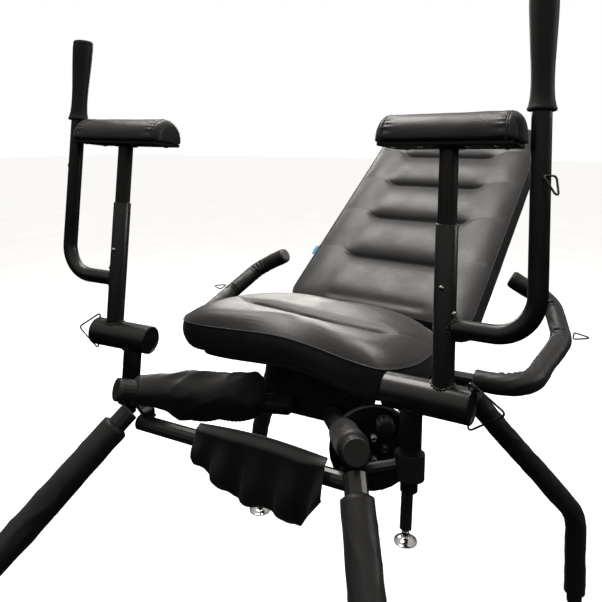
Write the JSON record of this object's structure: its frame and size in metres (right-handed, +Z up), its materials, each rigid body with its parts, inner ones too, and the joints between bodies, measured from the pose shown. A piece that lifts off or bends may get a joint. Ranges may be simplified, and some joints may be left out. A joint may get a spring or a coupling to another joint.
{
  "type": "reclining seat frame",
  "caption": "Upholstered reclining seat on a splayed padded tubular frame, with swivelling padded arm posts, tall side handles and padded side hoops.",
  "frame": {"origin": "centre of the whole object's box, on the floor", "axes": "+Z up, -Y towards the front of the seat, +X to the sitter's left, the right as seen from the front, which is the side the names call right"},
  "size_m": [0.902, 1.4847, 1.267],
  "materials": {
    "black_paint": "satin",
    "leatherette": "satin",
    "rubber": "matte",
    "chrome": "polished",
    "dark_wire": "satin",
    "board": "matte",
    "plastic": "satin"
  },
  "bodies": {
    "frame": {"hub_block": "black_paint", "front_cross_frame": "black_paint", "rear_centre_leg": "black_paint", "flange_disc": "black_paint", "disc_bolt_1": "chrome", "disc_bolt_2": "chrome", "disc_bolt_3": "chrome", "disc_bolt_4": "chrome", "apron": "leatherette", "front_spoke_left": "black_paint", "spoke_cap_left": "plastic", "spoke_wrap_left": "leatherette", "front_leg_left": "black_paint", "front_leg_sleeve_left": "leatherette", "rear_leg_left": "black_paint", "rear_leg_sleeve_left": "leatherette", "front_spoke_right": "black_paint", "spoke_cap_right": "plastic", "spoke_wrap_right": "leatherette", "front_leg_right": "black_paint", "front_leg_sleeve_right": "leatherette", "rear_leg_right": "black_paint", "rear_leg_sleeve_right": "leatherette"},
    "seat": {"swivel_plate": "black_paint", "seat_board": "board", "seat_cushion": "leatherette", "back_bracket": "black_paint", "hinge_pin": "chrome"},
    "backrest": {"back_board": "board", "back_cushion": "leatherette"},
    "arm_left": {"swivel_post_left": "black_paint", "side_handle_left": "black_paint", "grip_left": "rubber"},
    "pad_left": {"inner_post_left": "black_paint", "pad_board_left": "board", "pad_cushion_left": "leatherette"},
    "button_left": {"lock_button_left": "chrome"},
    "tube_bail_left": {"tube_bail_left": "dark_wire"},
    "handle_bail_left": {"handle_bail_left": "dark_wire"},
    "hoop_left": {"hoop_bar_left": "black_paint", "hoop_cover_left": "leatherette"},
    "hoop_ring_left": {"hoop_ring_left": "dark_wire"},
    "arm_right": {"swivel_post_right": "black_paint", "side_handle_right": "black_paint", "grip_right": "rubber"},
    "pad_right": {"inner_post_right": "black_paint", "pad_board_right": "board", "pad_cushion_right": "leatherette"},
    "button_right": {"lock_button_right": "chrome"},
    "tube_bail_right": {"tube_bail_right": "dark_wire"},
    "handle_bail_right": {"handle_bail_right": "dark_wire"},
    "hoop_right": {"hoop_bar_right": "black_paint", "hoop_cover_right": "leatherette"},
    "hoop_ring_right": {"hoop_ring_right": "dark_wire"},
    "knob": {"lock_knob": "plastic"},
    "foot_front_left": {"levelling_foot_front_left": "chrome"},
    "foot_front_right": {"levelling_foot_front_right": "chrome"},
    "foot_rear_left": {"levelling_foot_rear_left": "chrome"},
    "foot_rear_right": {"levelling_foot_rear_right": "chrome"},
    "foot_rear_centre": {"levelling_foot_rear_centre": "chrome"}
  },
  "joints": [
    {"name": "seat_swivel", "type": "hinge", "parent": "frame", "child": "seat", "pos_m": [0, -0.0193, 0.6637], "axis": [0, 0, 1], "range_deg": [0, 14]},
    {"name": "backrest_recline", "type": "hinge", "parent": "seat", "child": "backrest", "pos_m": [0.01828, 0.12958, 0.64], "axis": [0.9925, -0.1219, 0], "range_deg": [-22, 30]},
    {"name": "arm_left_swivel", "type": "hinge", "parent": "frame", "child": "arm_left", "pos_m": [-0.252, -0.2743, 0.7355], "axis": [0.0099, 0.0949, 0.9954], "range_deg": [-75, 45]},
    {"name": "pad_left_height", "type": "slide", "parent": "arm_left", "child": "pad_left", "axis": [0.0099, 0.0949, 0.9954], "range_m": [-0.05, 0.05]},
    {"name": "button_left_press", "type": "slide", "parent": "arm_left", "child": "button_left", "axis": [-0.0623, 0.9936, -0.0941], "range_m": [0, 0.006], "stiffness_N_per_m": 200, "springref_m": -0.002},
    {"name": "tube_bail_left_swing", "type": "hinge", "parent": "arm_left", "child": "tube_bail_left", "pos_m": [-0.32984, -0.27906, 0.73673], "axis": [0.0099, 0.0949, 0.9954], "range_deg": [-60, 60]},
    {"name": "handle_bail_left_swing", "type": "hinge", "parent": "arm_left", "child": "handle_bail_left", "pos_m": [-0.42127, -0.24796, 1.03604], "axis": [0.5214, 0.8489, -0.0861], "range_deg": [-10, 30]},
    {"name": "hoop_left_slide", "type": "slide", "parent": "frame", "child": "hoop_left", "axis": [-1, 0, 0], "range_m": [0, 0.06]},
    {"name": "hoop_ring_left_swing", "type": "hinge", "parent": "hoop_left", "child": "hoop_ring_left", "pos_m": [-0.418, 0.2277, 0.6965], "axis": [0, 0.9781, 0.2079], "range_deg": [-50, 50]},
    {"name": "arm_right_swivel", "type": "hinge", "parent": "frame", "child": "arm_right", "pos_m": [0.252, -0.2743, 0.7355], "axis": [-0.0099, 0.0949, 0.9954], "range_deg": [-45, 75]},
    {"name": "pad_right_height", "type": "slide", "parent": "arm_right", "child": "pad_right", "axis": [-0.0099, 0.0949, 0.9954], "range_m": [-0.05, 0.05]},
    {"name": "button_right_press", "type": "slide", "parent": "arm_right", "child": "button_right", "axis": [0.0623, 0.9936, -0.0941], "range_m": [0, 0.006], "stiffness_N_per_m": 200, "springref_m": -0.002},
    {"name": "tube_bail_right_swing", "type": "hinge", "parent": "arm_right", "child": "tube_bail_right", "pos_m": [0.32984, -0.27906, 0.73673], "axis": [-0.0099, 0.0949, 0.9954], "range_deg": [-60, 60]},
    {"name": "handle_bail_right_swing", "type": "hinge", "parent": "arm_right", "child": "handle_bail_right", "pos_m": [0.42022, -0.26471, 1.03763], "axis": [-0.6234, -0.7789, 0.0681], "range_deg": [-10, 30]},
    {"name": "hoop_right_slide", "type": "slide", "parent": "frame", "child": "hoop_right", "axis": [1, 0, 0], "range_m": [0, 0.06]},
    {"name": "hoop_ring_right_swing", "type": "hinge", "parent": "hoop_right", "child": "hoop_ring_right", "pos_m": [0.418, 0.2277, 0.6965], "axis": [0, 0.9781, 0.2079], "range_deg": [-50, 50]},
    {"name": "knob_turn", "type": "hinge", "parent": "frame", "child": "knob", "pos_m": [0.18215, -0.19835, 0.654], "axis": [0.5151, -0.8571, 0], "continuous": true},
    {"name": "foot_front_left_turn", "type": "hinge", "parent": "frame", "child": "foot_front_left", "pos_m": [-0.42, -0.7113, 0.017], "axis": [0, 0, 1], "continuous": true},
    {"name": "foot_front_right_turn", "type": "hinge", "parent": "frame", "child": "foot_front_right", "pos_m": [0.42, -0.7113, 0.017], "axis": [0, 0, 1], "continuous": true},
    {"name": "foot_rear_left_turn", "type": "hinge", "parent": "frame", "child": "foot_rear_left", "pos_m": [-0.42, 0.4047, 0.017], "axis": [0, 0, 1], "continuous": true},
    {"name": "foot_rear_right_turn", "type": "hinge", "parent": "frame", "child": "foot_rear_right", "pos_m": [0.42, 0.4047, 0.017], "axis": [0, 0, 1], "continuous": true},
    {"name": "foot_rear_centre_turn", "type": "hinge", "parent": "frame", "child": "foot_rear_centre", "pos_m": [0, 0.4707, 0.017], "axis": [0, 0, 1], "continuous": true}
  ]
}
